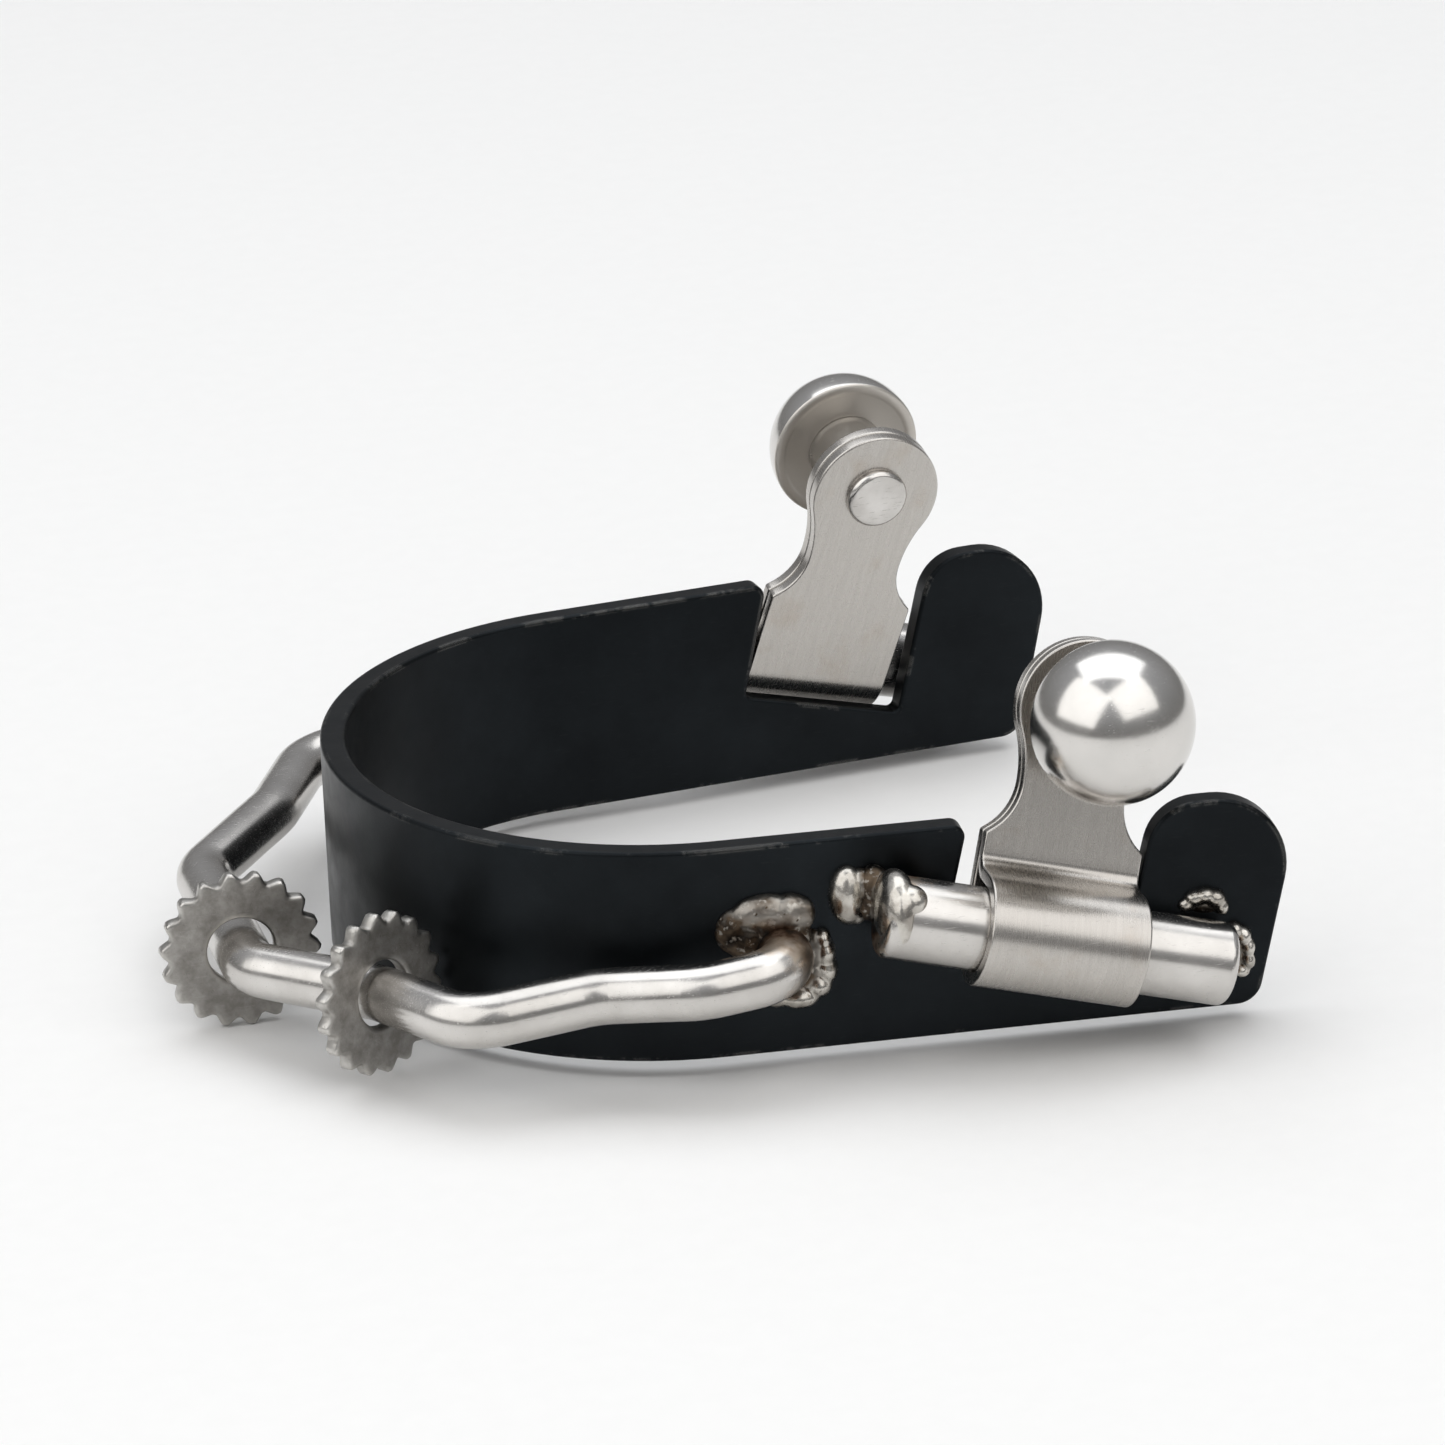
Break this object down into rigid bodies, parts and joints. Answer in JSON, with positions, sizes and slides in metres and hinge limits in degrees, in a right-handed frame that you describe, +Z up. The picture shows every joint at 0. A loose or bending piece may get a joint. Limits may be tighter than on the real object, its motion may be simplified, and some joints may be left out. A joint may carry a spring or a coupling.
{
  "type": "western spur",
  "caption": "Heel band spur with swinging strap buttons on side hinge rods and a bent bar behind the heel carrying loose toothed rowels.",
  "frame": {"origin": "centre of the footprint, level with the lowest rowel tooth", "axes": "+X towards the toe, +Y towards the left side of the wearer, +Z up"},
  "size_m": [0.1236, 0.1203, 0.0498],
  "materials": {
    "black_steel": "satin black oxide",
    "polished_steel": "polished stainless",
    "strap_steel": "fine brushed stainless",
    "button_steel": "mirror polished stainless",
    "rivet_steel": "satin stainless",
    "rowel_steel": "dull tumbled steel",
    "weld_steel": "heat stained weld metal"
  },
  "bodies": {
    "spur_frame": {"front_end_bead_left": "weld_steel", "front_end_bead_right": "weld_steel", "front_upper_bead_left": "weld_steel", "front_upper_bead_right": "weld_steel", "heel_band": "black_steel", "hinge_barrel_left": "polished_steel", "hinge_barrel_right": "polished_steel", "rear_bead_left": "weld_steel", "rear_bead_right": "weld_steel", "rear_puddle_left": "weld_steel", "rear_puddle_right": "weld_steel", "rowel_bar": "polished_steel", "rowel_bar_weld_left": "weld_steel", "rowel_bar_weld_right": "weld_steel"},
    "strap_hanger_right": {"hanger_right": "strap_steel", "button_right": "button_steel", "button_neck_right": "strap_steel", "button_rivet_right": "rivet_steel"},
    "strap_hanger_left": {"hanger_left": "strap_steel", "button_left": "button_steel", "button_neck_left": "strap_steel", "button_rivet_left": "rivet_steel"},
    "rear_rowel_body": {"rear_rowel": "rowel_steel"},
    "side_rowel_body": {"side_rowel": "rowel_steel"}
  },
  "joints": [
    {"name": "hanger_swing_right", "type": "hinge", "parent": "spur_frame", "child": "strap_hanger_right", "pos_m": [0.0331, -0.04964, 0.01445], "axis": [-0.9639, 0.086, 0.2521], "range_deg": [-210, 45]},
    {"name": "hanger_swing_left", "type": "hinge", "parent": "spur_frame", "child": "strap_hanger_left", "pos_m": [0.0331, 0.04964, 0.01445], "axis": [0.9639, 0.086, -0.2521], "range_deg": [-210, 45]},
    {"name": "rear_rowel_spin", "type": "hinge", "parent": "spur_frame", "child": "rear_rowel_body", "pos_m": [-0.05232, -0.0085, 0.00943], "axis": [0, 1, 0], "continuous": true},
    {"name": "side_rowel_spin", "type": "hinge", "parent": "spur_frame", "child": "side_rowel_body", "pos_m": [-0.04052, -0.0294, 0.01059], "axis": [-0.5478, 0.8349, -0.0537], "continuous": true}
  ]
}
